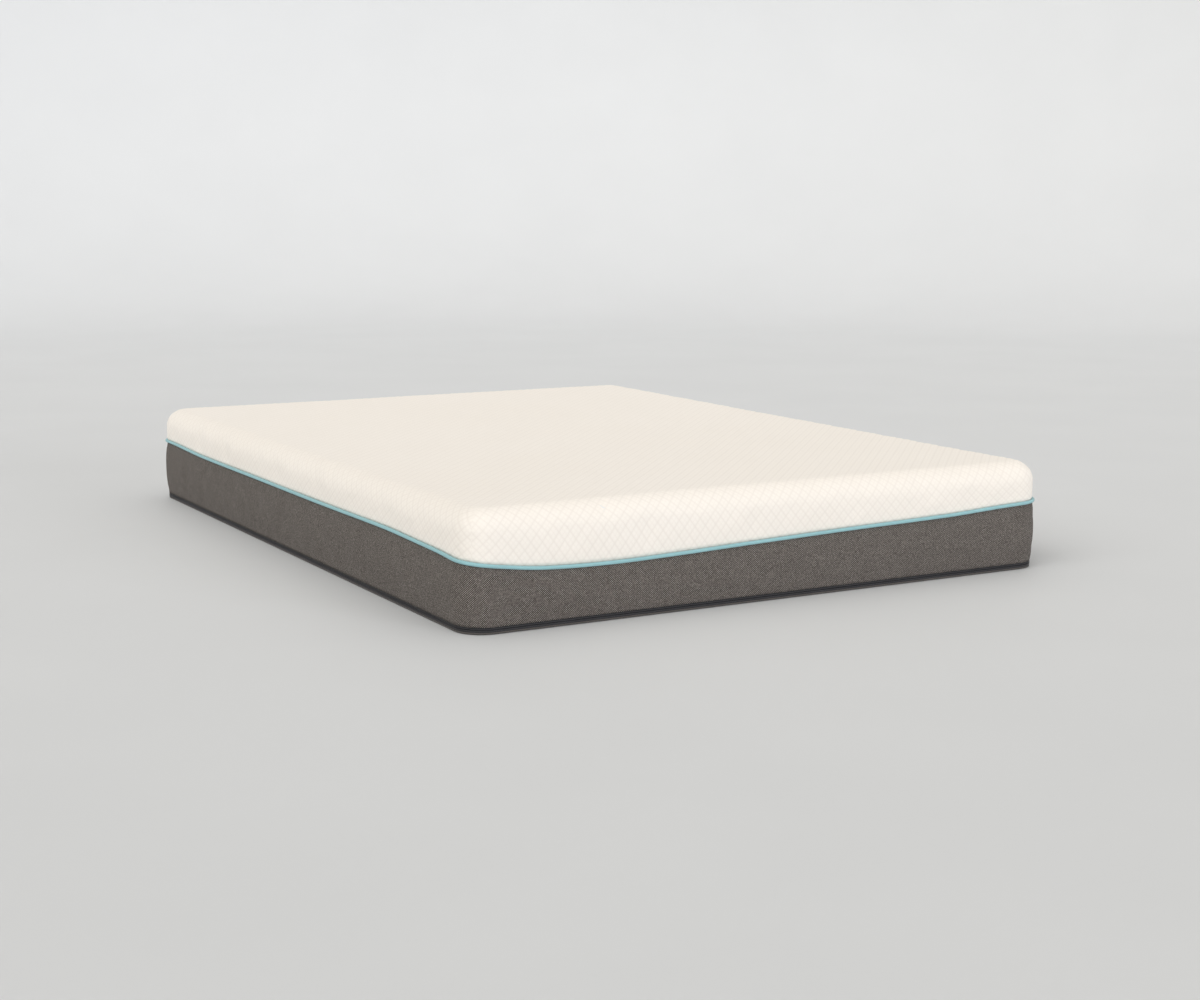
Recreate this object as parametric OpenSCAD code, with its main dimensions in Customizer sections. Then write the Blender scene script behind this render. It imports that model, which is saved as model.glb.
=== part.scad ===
// Memory foam mattress with a zip-off cover: a three-layer foam core in a fire sock,
// a stretch-knit cap with contrast piping over a mesh border, and a zip round the
// bottom edge that lets the whole cover lift off.
// Millimetres, +Z up, +Y towards the head end, origin at the bottom centre.

/* [Overall size] */
// Width across the piping
mattress_width = 1524; // [760:1:2000]
// Length along the piping, foot to head
mattress_length = 2032; // [1800:1:2200]
// Height from the floor side to the sleeping surface
mattress_height = 254; // [200:1:330]
// Plan radius of the corners, at the outermost line of the piping
corner_radius = 70; // [58:1:120]

/* [Foam core] */
// Thickness of the springy middle layer
transition_thickness = 50; // [25:1:75]
// Thickness of the slow memory foam on top
memory_thickness = 64; // [50:1:100]
// Radius of the memory foam's rounded top edge
foam_roll_radius = 36; // [20:1:45]
// Thickness of the fire sock's knit
sock_thickness = 1.4; // [0.8:0.1:2.5]
// How far the sock is turned in under the foam
sock_hem = 45; // [20:1:50]
// Distance from the outermost line to the foam's side face
foam_inset = 13; // [12.5:0.1:20]

/* [Cover] */
// Air between the sock and the cover that lifts off it
lift_clearance = 0.6; // [0.4:0.1:2]
// Thickness of the knit and the fibre fill under it, on top
cap_thickness = 7.6; // [5:0.1:15]
// Thickness of the knit alone
knit_thickness = 1.8; // [1:0.1:2.5]
// Outer radius of the cap's rounded top edge
cap_roll_radius = 48; // [40:1:52]
// How far the cap and the border's edges lie inside the outermost line
wall_inset = 6.5; // [5.5:0.1:7.5]
// How far the border swells outwards at mid height
border_bulge = 5.7; // [2:0.1:5.9]
// Thickness of the border's mesh, without its padding
mesh_thickness = 1.2; // [0.8:0.1:1.6]
// Height of the seam between cap and border
seam_height = 140; // [100:1:180]

/* [Piping] */
// Radius of the finished piping
piping_radius = 4; // [3:0.1:5]
// Thickness of the strip wrapped round the cord
piping_fabric = 0.8; // [0.5:0.1:1.2]
// Thickness of the piping's seam allowance
piping_flange = 1; // [0.6:0.1:1.5]

/* [Bottom panel] */
// Thickness of the non-slip bottom cloth
bottom_thickness = 2; // [1:0.1:3]
// Height of its turned-up rim
rim_height = 4.8; // [4:0.1:5]

/* [Zip] */
// Height of the zip's centre line
chain_height = 10; // [9.8:0.1:14]
// Distance from the outermost line to the zip tape's outer face
tape_inset = 8.3; // [8:0.1:8.6]
// Thickness of the tape
tape_thickness = 0.7; // [0.5:0.1:0.9]
// How far the upper tape is sewn up behind the border's hem
tape_overlap = 10; // [6:1:15]
// Width and depth of one coil
coil_size = 2.4; // [2:0.1:2.8]
// Gap between the two coils
coil_gap = 2; // [1.8:0.1:2.6]
// Clearance between the slider and all it slides on
slider_clearance = 0.3; // [0.2:0.05:0.5]
// Thickness of the slider's plates
slider_plate = 1.2; // [0.8:0.1:1.5]
// Length of the slider along the zip
slider_length = 13; // [10:0.5:18]
// From the end of the head end's straight side to the closed slider
slider_from_corner = 272; // [60:1:400]
// Length of the pull from its hinge to its tip
pull_length = 24; // [18:1:40]
// Thickness of the pull, and of its cross bar
pull_thickness = 1.2; // [0.8:0.1:1.5]

/* [Labels] */
// Thickness of the printed label cloth
label_thickness = 0.5; // [0.3:0.1:0.8]
// From the other end of that side to the middle of the law label
label_from_corner = 332; // [80:1:500]
// Width of the law label
law_label_width = 90; // [60:1:140]
// Height of the law label
law_label_height = 74; // [40:1:90]
// Width of the care label
care_label_width = 38; // [25:1:60]
// Height of the care label
care_label_height = 52; // [30:1:80]

/* [Quality] */
// Facets of a full circle in a preview
roundness = 64; // [24:8:128]

/* [Hidden] */
$fn = roundness;

straight_x = mattress_width - 2 * corner_radius;
straight_y = mattress_length - 2 * corner_radius;

sock_inset = foam_inset - sock_thickness;
cap_inner = sock_inset - lift_clearance;
foam_bottom = bottom_thickness + sock_thickness;
sock_top = mattress_height - cap_thickness - lift_clearance;
foam_top = sock_top - sock_thickness;
memory_bottom = foam_top - memory_thickness;
transition_bottom = memory_bottom - transition_thickness;
sock_roll = foam_roll_radius + sock_thickness;
cap_inner_roll = sock_roll + lift_clearance;

seam_low = seam_height - piping_flange / 2;
seam_high = seam_height + piping_flange / 2;

half_gap = coil_gap / 2;
coil_inset = tape_inset - coil_size;
slider_face = coil_inset - slider_clearance - slider_plate;
slider_back = tape_inset + tape_thickness + slider_clearance;
slider_half_height = half_gap + coil_size + slider_clearance + 0.9;
lip_low = half_gap + coil_size + slider_clearance;
diamond_half = half_gap - slider_clearance;
border_low = chain_height + slider_half_height + 0.6;

border_half = (seam_low - border_low) / 2;
border_mid = border_low + border_half;
border_arc = (border_half * border_half + border_bulge * border_bulge) / (2 * border_bulge);
border_face = wall_inset - border_bulge;

bar_inset = slider_face - slider_clearance - pull_thickness / 2;
strap_inner = bar_inset - pull_thickness / 2 - slider_clearance;
strap_outer = strap_inner - 1;
strap_half_length = 3.6;
strap_half_height = 1.1;
arm_low = strap_half_height + slider_clearance;
arm_high = arm_low + 1.2;
pull_window = 4.5;
pull_half_height = 3.3;

slider_x = straight_x / 2 - slider_from_corner;
lower_end_x = slider_x - slider_length / 2 - 4.5;
stop_x = slider_x + slider_length / 2 + 0.7;
stop_length = 3;
upper_coil_end_x = stop_x + stop_length + 0.8;
tape_end_x = stop_x + 15.5;
tape_start_x = tape_end_x + 2;
end_tab_half = 8;
coil_start_x = tape_start_x + end_tab_half + 2;
label_top = border_low + 2 * border_half - 6;
law_label_x = label_from_corner - straight_x / 2;
care_label_x = law_label_x + law_label_width / 2 + 34;

// ---- drawing helpers -------------------------------------------------------------

// Profiles are drawn with x measured inwards from the outermost line and y upwards.
// This turns them so that x is measured from the corner's centre line instead.
module from_corner_centre() {
    translate([corner_radius, 0])
        mirror([1, 0])
            children();
}

// One profile carried once round the mattress: a quarter turn at each corner and a
// straight run along each side.
module round_the_edge() {
    for (turn = [0 : 3]) {
        along_y = turn == 0 || turn == 2;
        run = along_y ? straight_y : straight_x;
        reach = along_y ? straight_x / 2 : straight_y / 2;
        rotate([0, 0, 90 * turn]) {
            translate([reach, 0, 0])
                rotate([90, 0, 0])
                    linear_extrude(height = run, center = true)
                        from_corner_centre() children();
            translate([reach, run / 2, 0])
                rotate_extrude(angle = 90)
                    from_corner_centre() children();
        }
    }
}

// A short straight piece of a profile on the head end, centred at x.
module on_head_end(x, length) {
    translate([x, straight_y / 2, 0])
        rotate([0, 0, 90])
            rotate([90, 0, 0])
                linear_extrude(height = length, center = true)
                    from_corner_centre() children();
}

// A box on the head end given by its ends along x, its depths in from the outermost
// line and its heights.
module head_box(x_low, x_high, inset_low, inset_high, z_low, z_high) {
    translate([x_low, mattress_length / 2 - inset_high, z_low])
        cube([x_high - x_low, inset_high - inset_low, z_high - z_low]);
}

// The outline of the mattress at a given distance inside the outermost line.
module plan_outline(inset) {
    r = corner_radius - inset;
    square([straight_x + 2 * r, straight_y], center = true);
    square([straight_x, straight_y + 2 * r], center = true);
    for (sx = [-1, 1], sy = [-1, 1])
        translate([sx * straight_x / 2, sy * straight_y / 2])
            circle(r = r);
}

module layer(inset, low, high) {
    translate([0, 0, low])
        linear_extrude(height = high - low)
            plan_outline(inset);
}

// Section of a side wall and the top behind it, with the top edge rounded.
module rolled_section(inset, low, high, roll) {
    translate([inset, low])
        square([corner_radius - inset, high - roll - low]);
    translate([inset + roll, low])
        square([corner_radius - inset - roll, high - low]);
    intersection() {
        translate([inset + roll, high - roll])
            circle(r = roll);
        translate([inset, high - roll])
            square([roll, roll]);
    }
}

module middle_block(low, high) {
    translate([-straight_x / 2, -straight_y / 2, low])
        cube([straight_x, straight_y, high - low]);
}

module piping_circle(radius) {
    translate([piping_radius, seam_height])
        circle(r = radius);
}

// ---- foam core and bottom --------------------------------------------------------

// Firm base slab that carries the load.
module support_foam_base() {
    color([0.93, 0.90, 0.80])
        layer(foam_inset, foam_bottom, transition_bottom);
}

// Softer slab glued between base and memory foam.
module transition_foam_layer() {
    color([0.80, 0.88, 0.92])
        layer(foam_inset, transition_bottom, memory_bottom);
}

// Slow-recovery slab with its top edge rounded over.
module memory_foam_layer() {
    color([0.72, 0.86, 0.86]) {
        round_the_edge()
            rolled_section(foam_inset, memory_bottom, foam_top, foam_roll_radius);
        middle_block(memory_bottom, foam_top);
    }
}

// Knit bag drawn over the foam stack and turned in under it.
module fire_sock() {
    color([0.95, 0.94, 0.90]) {
        round_the_edge()
            difference() {
                rolled_section(sock_inset, bottom_thickness, sock_top, sock_roll);
                rolled_section(foam_inset, foam_bottom, foam_top, foam_roll_radius);
                translate([foam_inset + sock_hem, 0])
                    square([corner_radius, foam_bottom]);
            }
        middle_block(foam_top, sock_top);
    }
}

// Non-slip cloth under the core, with its edge turned up for the zip.
module bottom_panel() {
    color([0.30, 0.29, 0.28]) {
        layer(wall_inset, 0, bottom_thickness);
        round_the_edge()
            translate([wall_inset, bottom_thickness])
                square([tape_inset - wall_inset, rim_height - bottom_thickness]);
    }
}

// Tape of the zip's lower half, sewn inside the rim. It stops short of the parked
// slider, which is what lets the cover come away.
module zipper_tape_lower() {
    color([0.22, 0.22, 0.23])
        difference() {
            round_the_edge()
                translate([tape_inset, bottom_thickness])
                    square([tape_thickness, chain_height - half_gap - bottom_thickness]);
            head_box(lower_end_x, tape_start_x, 0, 30, 0, 30);
        }
}

module coil_section(low) {
    chamfer = coil_size / 5;
    polygon([[coil_inset + chamfer, low],
             [tape_inset, low],
             [tape_inset, low + coil_size],
             [coil_inset + chamfer, low + coil_size],
             [coil_inset, low + coil_size - chamfer],
             [coil_inset, low + chamfer]]);
}

// Coil of the zip's lower half.
module zipper_coil_lower() {
    color([0.16, 0.16, 0.17])
        difference() {
            round_the_edge()
                coil_section(chain_height - half_gap - coil_size);
            head_box(lower_end_x, coil_start_x, 0, 30, 0, 30);
        }
}

// ---- cover -----------------------------------------------------------------------

// Stretch knit: the sleeping surface and the upper part of the sides in one piece.
module knit_cap() {
    color([0.94, 0.92, 0.88]) {
        round_the_edge()
            difference() {
                rolled_section(wall_inset, seam_high, mattress_height, cap_roll_radius);
                rolled_section(wall_inset + knit_thickness, 0, mattress_height - knit_thickness,
                               cap_roll_radius - knit_thickness);
                piping_circle(piping_radius);
            }
        middle_block(mattress_height - knit_thickness, mattress_height);
    }
}

// Soft fibre sewn in under the knit.
module cap_fibre_fill() {
    color([0.97, 0.97, 0.96]) {
        round_the_edge()
            difference() {
                rolled_section(wall_inset + knit_thickness, seam_high,
                               mattress_height - knit_thickness,
                               cap_roll_radius - knit_thickness);
                rolled_section(cap_inner, 0, mattress_height - cap_thickness, cap_inner_roll);
                piping_circle(piping_radius);
            }
        middle_block(mattress_height - cap_thickness, mattress_height - knit_thickness);
    }
}

// Strip wrapped round the cord, its two edges caught in the seam.
module piping_cover() {
    color([0.61, 0.80, 0.84])
        round_the_edge()
            difference() {
                union() {
                    piping_circle(piping_radius);
                    translate([piping_radius, seam_low])
                        square([cap_inner - piping_radius, piping_flange]);
                }
                piping_circle(piping_radius - piping_fabric);
            }
}

// Filler cord inside the piping.
module piping_cord() {
    color([0.92, 0.91, 0.88])
        round_the_edge()
            piping_circle(piping_radius - piping_fabric);
}

module border_disc(extra) {
    translate([border_face + border_arc, border_mid])
        circle(r = border_arc + extra, $fn = 4 * roundness);
}

// The border's section between its two seams, with its face moved in or out.
module border_section(extra) {
    difference() {
        intersection() {
            translate([0, border_low])
                square([cap_inner, 2 * border_half]);
            border_disc(extra);
        }
        piping_circle(piping_radius);
    }
}

// Mesh face of the border, swelling between its two seams.
module border_mesh() {
    color([0.42, 0.40, 0.38])
        round_the_edge()
            difference() {
                border_section(0);
                border_disc(-mesh_thickness);
            }
}

// Padding behind the mesh, with the zip tape let into its lower edge.
module border_padding() {
    color([0.88, 0.88, 0.86])
        round_the_edge()
            difference() {
                border_section(-mesh_thickness);
                translate([tape_inset, border_low - 1])
                    square([tape_thickness, tape_overlap + 1]);
            }
}

// Tape of the zip's upper half, its upper edge sewn into the border's hem.
module zipper_tape_upper() {
    tape_low = chain_height + half_gap;
    color([0.22, 0.22, 0.23])
        difference() {
            round_the_edge()
                translate([tape_inset, tape_low])
                    square([tape_thickness, border_low + tape_overlap - tape_low]);
            head_box(tape_end_x, tape_start_x, 0, 30, 0, border_low);
        }
}

// Coil of the zip's upper half.
module zipper_coil_upper() {
    color([0.16, 0.16, 0.17])
        difference() {
            round_the_edge()
                coil_section(chain_height + half_gap);
            head_box(upper_coil_end_x, coil_start_x, 0, 30, 0, 30);
        }
}

// Small clip on the upper coil that the closed slider comes up against.
module zipper_stop() {
    stop_low = chain_height + half_gap;
    stop_high = stop_low + coil_size;
    color([0.55, 0.55, 0.56]) {
        head_box(stop_x, stop_x + stop_length, coil_inset - 1, coil_inset,
                 stop_low, stop_high);
        head_box(stop_x, stop_x + stop_length, coil_inset - 1, tape_inset,
                 stop_high, stop_high + 0.8);
    }
}

// Cloth patch sewn over the two ends of the tape.
module zipper_end_tab() {
    color([0.30, 0.29, 0.28])
        head_box(tape_end_x - end_tab_half + 1, tape_start_x + end_tab_half - 1,
                 tape_inset - 1.2, tape_inset, chain_height + half_gap, border_low);
}

// A label lying on the border's curved face, hung from just under the piping.
module border_label(x, width, height) {
    on_head_end(x, width)
        difference() {
            intersection() {
                translate([0, label_top - height])
                    square([cap_inner, height]);
                border_disc(label_thickness);
            }
            border_disc(0);
        }
}

// Plain law label.
module law_label() {
    color([0.96, 0.96, 0.94])
        border_label(law_label_x, law_label_width, law_label_height);
}

// Plain care label beside it.
module care_label() {
    color([0.97, 0.97, 0.96])
        border_label(care_label_x, care_label_width, care_label_height);
}

// ---- zip slider ------------------------------------------------------------------

// Two plates joined by a wedge that keeps the coils apart, with lips that hold the
// coils in and a strap for the pull.
module slider_body() {
    x_low = slider_x - slider_length / 2;
    x_high = slider_x + slider_length / 2;
    z_low = chain_height - slider_half_height;
    z_high = chain_height + slider_half_height;
    plate_inner = slider_face + slider_plate;
    lip_reach = tape_inset - slider_clearance;
    color([0.62, 0.62, 0.63]) {
        head_box(x_low, x_high, slider_face, plate_inner, z_low, z_high);
        head_box(x_low, x_high, slider_back, slider_back + slider_plate, z_low, z_high);
        head_box(x_high - 3.5, x_high, plate_inner, slider_back,
                 chain_height - diamond_half, chain_height + diamond_half);
        head_box(x_low, x_high, plate_inner, lip_reach, chain_height + lip_low, z_high);
        head_box(x_low, x_high, plate_inner, lip_reach, z_low, chain_height - lip_low);
        head_box(slider_x - strap_half_length, slider_x + strap_half_length,
                 strap_outer, strap_inner,
                 chain_height - strap_half_height, chain_height + strap_half_height);
        for (side = [-1, 1])
            head_box(slider_x + side * (strap_half_length - 0.6) - 0.6,
                     slider_x + side * (strap_half_length - 0.6) + 0.6,
                     strap_inner, slider_face,
                     chain_height - strap_half_height, chain_height + strap_half_height);
    }
}

// Pull with a cross bar that turns under the slider's strap.
module pull_tab() {
    bar_y = mattress_length / 2 - bar_inset;
    face_low = bar_inset - pull_thickness / 2;
    face_high = bar_inset + pull_thickness / 2;
    color([0.58, 0.58, 0.59]) {
        translate([slider_x, bar_y, chain_height - arm_high])
            cylinder(d = pull_thickness, h = 2 * arm_high);
        head_box(slider_x, slider_x + pull_window, face_low, face_high,
                 chain_height + arm_low, chain_height + arm_high);
        head_box(slider_x, slider_x + pull_window, face_low, face_high,
                 chain_height - arm_high, chain_height - arm_low);
        head_box(slider_x + pull_window, slider_x + pull_length, face_low, face_high,
                 chain_height - pull_half_height, chain_height + pull_half_height);
    }
}

// ---- parts -----------------------------------------------------------------------

support_foam_base();
transition_foam_layer();
memory_foam_layer();
fire_sock();
bottom_panel();
zipper_tape_lower();
zipper_coil_lower();
knit_cap();
cap_fibre_fill();
piping_cover();
piping_cord();
border_mesh();
border_padding();
zipper_tape_upper();
zipper_coil_upper();
zipper_stop();
zipper_end_tab();
law_label();
care_label();
slider_body();
pull_tab();
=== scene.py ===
# %% [markdown]
# # A memory foam mattress
#
# This notebook builds the looks of a queen-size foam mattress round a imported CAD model.
# The CAD model already says how big everything is and what moves. Here every soft piece
# gets its real surface: the stretch knit with its diamond relief, the piping that wanders
# a little along its seam, the swelling mesh border, the zip, the foam inside.

# %% Load the frame
import math

import bmesh
import bpy
import numpy as np
from mathutils import Matrix, Vector


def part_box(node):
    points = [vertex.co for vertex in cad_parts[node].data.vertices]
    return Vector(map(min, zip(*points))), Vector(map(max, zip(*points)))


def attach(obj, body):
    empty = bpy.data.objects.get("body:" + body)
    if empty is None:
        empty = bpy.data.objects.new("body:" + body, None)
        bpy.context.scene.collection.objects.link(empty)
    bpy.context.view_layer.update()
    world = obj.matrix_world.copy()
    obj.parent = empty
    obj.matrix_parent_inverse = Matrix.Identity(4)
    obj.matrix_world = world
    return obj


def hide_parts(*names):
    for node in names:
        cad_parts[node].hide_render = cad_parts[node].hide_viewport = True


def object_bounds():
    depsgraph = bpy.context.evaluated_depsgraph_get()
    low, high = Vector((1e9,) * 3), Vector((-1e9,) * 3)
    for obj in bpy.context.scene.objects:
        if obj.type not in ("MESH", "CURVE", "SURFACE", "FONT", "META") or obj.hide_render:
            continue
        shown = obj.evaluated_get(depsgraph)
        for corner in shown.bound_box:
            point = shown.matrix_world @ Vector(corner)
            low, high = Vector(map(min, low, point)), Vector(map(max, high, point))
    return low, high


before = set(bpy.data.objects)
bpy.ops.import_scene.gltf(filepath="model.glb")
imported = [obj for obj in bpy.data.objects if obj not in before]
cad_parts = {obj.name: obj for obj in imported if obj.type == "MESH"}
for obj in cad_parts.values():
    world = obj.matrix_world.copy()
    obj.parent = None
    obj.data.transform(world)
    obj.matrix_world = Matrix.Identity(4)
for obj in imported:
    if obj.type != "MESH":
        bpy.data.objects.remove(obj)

cad_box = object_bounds()
print("CAD box", [[round(v, 4) for v in corner] for corner in cad_box])

# %% [markdown]
# ## Sizes that everything shares
#
# A maker works from one outline, the piping line seen from above, and measures every other
# piece inwards from it. So the outline comes from the frame's own box, and insets come from
# the boxes of the CAD nodes. Only what a box can't tell is written here: how round the
# corners are in plan and how round the top edge is.

# %% Sizes
mm = 0.001
half_width = cad_box[1][0]
half_length = cad_box[1][1]
top_height = cad_box[1][2]
corner_radius = 70 * mm
cap_roll = 48 * mm
foam_roll = 36 * mm

straight_x = 2 * (half_width - corner_radius)
straight_y = 2 * (half_length - corner_radius)
corner_arc = corner_radius * math.pi / 2
whole_run = 2 * (straight_x + straight_y) + 4 * corner_arc


def inset_of(node):
    """How far a node's side lies inside the piping line."""
    return half_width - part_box(node)[1][0]


def low_of(node):
    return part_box(node)[0][2]


def high_of(node):
    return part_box(node)[1][2]


cap_inset = inset_of("knit_cap")
sock_inset = inset_of("fire_sock")
foam_inset = inset_of("support_foam_base")
tape_inset = inset_of("zipper_tape_upper")
coil_inset = inset_of("zipper_coil_upper")
piping_radius = (high_of("piping_cover") - low_of("piping_cover")) / 2
cord_radius = (high_of("piping_cord") - low_of("piping_cord")) / 2
seam_height = low_of("piping_cover") + piping_radius
border_low = low_of("border_mesh")
cover_clearance = 0.6 * mm
cap_lining = sock_inset - cover_clearance
print(f"once round is {whole_run:.3f} m, seam at {seam_height:.3f} m")

# %% [markdown]
# ## Once round the edge
#
# Almost every piece of a mattress is a strip that runs once round it. In Blender this
# could be a curve with a bevel, but then nothing would stay the same width at the corners
# and no two strips would share their points. A small function does better: it takes the
# distance run along the piping line, from the middle of the head end and
# anticlockwise seen from above, and gives back the point on the corner-centre line and
# the direction outwards. Any section can be carried along it.

# %% The outline as a function of the distance run
def round_edge(run):
    """Base points (n, 2) and outward directions (n, 2) at these distances."""
    run = np.mod(np.asarray(run, float), whole_run)
    hx, hy = straight_x / 2, straight_y / 2
    lengths = [hx, corner_arc, straight_y, corner_arc, straight_x,
               corner_arc, straight_y, corner_arc, hx]
    starts = np.concatenate([[0], np.cumsum(lengths)])
    part = np.clip(np.searchsorted(starts, run, side="right") - 1, 0, 8)
    along = run - starts[part]
    # Each straight: where it starts, which way it goes, which way is out.
    straights = {0: ((0, hy), (-1, 0), (0, 1)), 2: ((-hx, hy), (0, -1), (-1, 0)),
                 4: ((-hx, -hy), (1, 0), (0, -1)), 6: ((hx, -hy), (0, 1), (1, 0)),
                 8: ((hx, hy), (-1, 0), (0, 1))}
    corners = {1: ((-hx, hy), 90), 3: ((-hx, -hy), 180), 5: ((hx, -hy), 270), 7: ((hx, hy), 0)}
    base = np.zeros((len(run), 2))
    out = np.zeros((len(run), 2))
    for number, (start, way, normal) in straights.items():
        here = part == number
        base[here] = np.array(start) + along[here, None] * np.array(way)
        out[here] = normal
    for number, (centre, first) in corners.items():
        here = part == number
        turn = math.radians(first) + along[here] / corner_radius
        base[here] = centre
        out[here] = np.stack([np.cos(turn), np.sin(turn)], -1)
    return base, out


print(f"straights of {straight_x:.3f} and {straight_y:.3f} m, corners of {corner_arc:.3f} m")

# %% [markdown]
# ## The seam is never quite level
#
# The cover is pulled over the foam by hand, so the piping rises and dips by a couple of
# centimetres on its way round. A level seam would look machined. The height of the seam
# is a smooth closed curve through a few chosen places: highest at the head end's left
# corner and lowest on the foot end, just past the left corner. Each place is a distance
# run in metres and a height in millimetres.

# %% Seam height
seam_places = [(0.00, 158), (0.82, 165), (1.10, 159), (1.55, 159), (2.00, 159), (2.35, 161),
               (2.50, 158), (2.64, 154), (2.76, 145), (2.90, 128), (3.04, 123), (3.18, 125),
               (3.42, 133), (3.68, 141), (3.97, 148), (4.15, 157), (4.30, 161), (4.90, 158),
               (5.60, 154), (6.25, 158)]


def seam_at(run):
    """Height of the seam at each distance run, in metres."""
    run = np.mod(np.asarray(run, float), whole_run)
    at = np.array([place for place, _ in seam_places])
    high = np.array([height for _, height in seam_places]) * mm
    count = len(at)
    k = np.searchsorted(at, run, side="right") - 1
    at_next = np.append(at, whole_run)[k + 1]
    before, here, after, later = (high[(k + step) % count] for step in (-1, 0, 1, 2))
    t = (run - at[k]) / (at_next - at[k])
    return here + 0.5 * t * (after - before + t * (
        2 * before - 5 * here + 4 * after - later + t * (3 * (here - after) + later - before)))


# Each wave: its pace along and across, its share of the seed, its shift, its strength.
ripple_waves = [(2.1, 1.3, 1.0, 0.0, 1.0), (-1.2, 2.3, 2.1, 1.0, 1.0),
                (3.4, -1.9, 3.3, 2.0, 0.6), (1.1, 4.1, 4.7, 0.5, 0.4)]


def ripple(a, b, size, seed=0.0):
    """A soft uneven value from -1 to 1 over two lengths, the same on every run."""
    a, b = np.asarray(a) / size, np.asarray(b) / size
    waves = [np.sin(pace_a * a + pace_b * b + share * seed + shift) * strength
             for pace_a, pace_b, share, shift, strength in ripple_waves]
    return sum(waves) / sum(strength for *_, strength in ripple_waves)


def smooth(value, low, high):
    """Rises smoothly from 0 at low to 1 at high."""
    t = np.clip((value - low) / (high - low), 0, 1)
    return t * t * (3 - 2 * t)


probe = np.linspace(0, whole_run, 400)
print("seam from", round(float(seam_at(probe).min()), 4), "to", round(float(seam_at(probe).max()), 4))

# %% [markdown]
# ## From arrays to meshes
#
# A strip is a grid: one row of points for each place along the run, one column for each
# point of its section. Numpy makes such a grid in one go, and the faces are the same
# little pattern of four corners over and over. Each face corner also keeps its place in
# the cloth in metres, as a UV map called "cloth", so a weave can follow the strip round
# the corners.

# %% Mesh helpers
def make_piece(name, points, faces, cloth, body, slot, replaces=None):
    """A smooth mesh object that rides on a body, with its cloth map."""
    mesh = bpy.data.meshes.new(name)
    mesh.from_pydata(points, [], faces)
    mesh.update()
    layer = mesh.uv_layers.new(name="cloth")
    layer.data.foreach_set("uv", np.asarray(cloth, np.float32).ravel())
    mesh.polygons.foreach_set("use_smooth", np.ones(len(mesh.polygons), bool))
    piece = bpy.data.objects.new(name, mesh)
    bpy.context.scene.collection.objects.link(piece)
    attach(piece, body)
    if replaces:
        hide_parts(replaces)
    return piece


def grid_faces(rows, columns, first=0, wrap_rows=False, wrap_columns=False):
    """Four-cornered faces over a grid of points, and their cells' numbers."""
    i, j = np.meshgrid(np.arange(rows if wrap_rows else rows - 1),
                       np.arange(columns if wrap_columns else columns - 1), indexing="ij")
    i, j = i.ravel(), j.ravel()
    i_next, j_next = (i + 1) % rows, (j + 1) % columns
    faces = np.stack([i * columns + j, i_next * columns + j,
                      i_next * columns + j_next, i * columns + j_next], -1) + first
    return faces, i, j


def all_round(run, insets, heights):
    """A section that is the same at every distance run."""
    return np.tile(insets, (len(run), 1)), np.tile(heights, (len(run), 1))


def lengths_along(points):
    """Running length over the second axis of a grid of points."""
    steps = np.linalg.norm(np.diff(points, axis=1), axis=2)
    return np.concatenate([np.zeros((len(points), 1)), np.cumsum(steps, axis=1)], axis=1)


def place_section(run, inset, height):
    """Points (n, m, 3) of a section given by insets and heights (n, m)."""
    base, out = round_edge(run)
    reach = corner_radius - inset
    flat = base[:, None, :] + out[:, None, :] * reach[:, :, None]
    return np.concatenate([flat, height[:, :, None]], axis=2)


def looped_strip(run, inset, height, ring):
    """A strip whose section is a closed loop: points, faces, cloth places, lengths across."""
    points = place_section(run, inset, height)
    rows, columns = inset.shape
    faces, i, j = grid_faces(rows, columns, wrap_rows=ring, wrap_columns=True)
    across = lengths_along(np.concatenate([points, points[:, :1]], axis=1))
    along = np.append(run, whole_run + run[0])
    cloth = np.stack([
        np.stack([along[i], across[i, j]], -1),
        np.stack([along[i + 1], across[(i + 1) % rows, j]], -1),
        np.stack([along[i + 1], across[(i + 1) % rows, j + 1]], -1),
        np.stack([along[i], across[i, j + 1]], -1)], axis=1)
    return points.reshape(-1, 3), faces, cloth, across


def close_ring(run, inset, height):
    """A looped strip that runs right round and meets itself."""
    return looped_strip(run, inset, height, True)[:3]


def open_strip(run, inset, height):
    """A looped strip with two ends, each closed with one face."""
    points, faces, cloth, across = looped_strip(run, inset, height, False)
    rows, columns = inset.shape
    first = list(range(columns))
    last = [(rows - 1) * columns + k for k in reversed(range(columns))]
    ends = [[run[0], across[0, k]] for k in range(columns)]
    ends += [[run[-1], across[-1, k]] for k in reversed(range(columns))]
    return (points, faces.tolist() + [first, last],
            np.concatenate([cloth.reshape(-1, 2), np.array(ends)]))


def edge_stations(cells_x, cells_y, cells_corner):
    """Distances run, evenly spaced on each straight and on each corner."""
    pieces = []
    start = straight_x / 2
    for length, count in 2 * ((corner_arc, cells_corner), (straight_y, cells_y),
                              (corner_arc, cells_corner), (straight_x, cells_x)):
        pieces.append(start + np.arange(count) * length / count)
        start += length
    return np.concatenate(pieces)


plain_stations = edge_stations(104, 140, 16)
print(len(plain_stations), "places once round for a plain strip")

# %% [markdown]
# ## Shader helper
#
# A shader is arithmetic on sockets. Wiring Math nodes by hand hides the formula, so one
# small class wraps a socket and lets Python's own operators add the nodes: `1 - mask` or
# `a * b + c` reads as it does on paper. Every other node comes from one method, which
# takes the node's type, its settings and what goes into its sockets.

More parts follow.
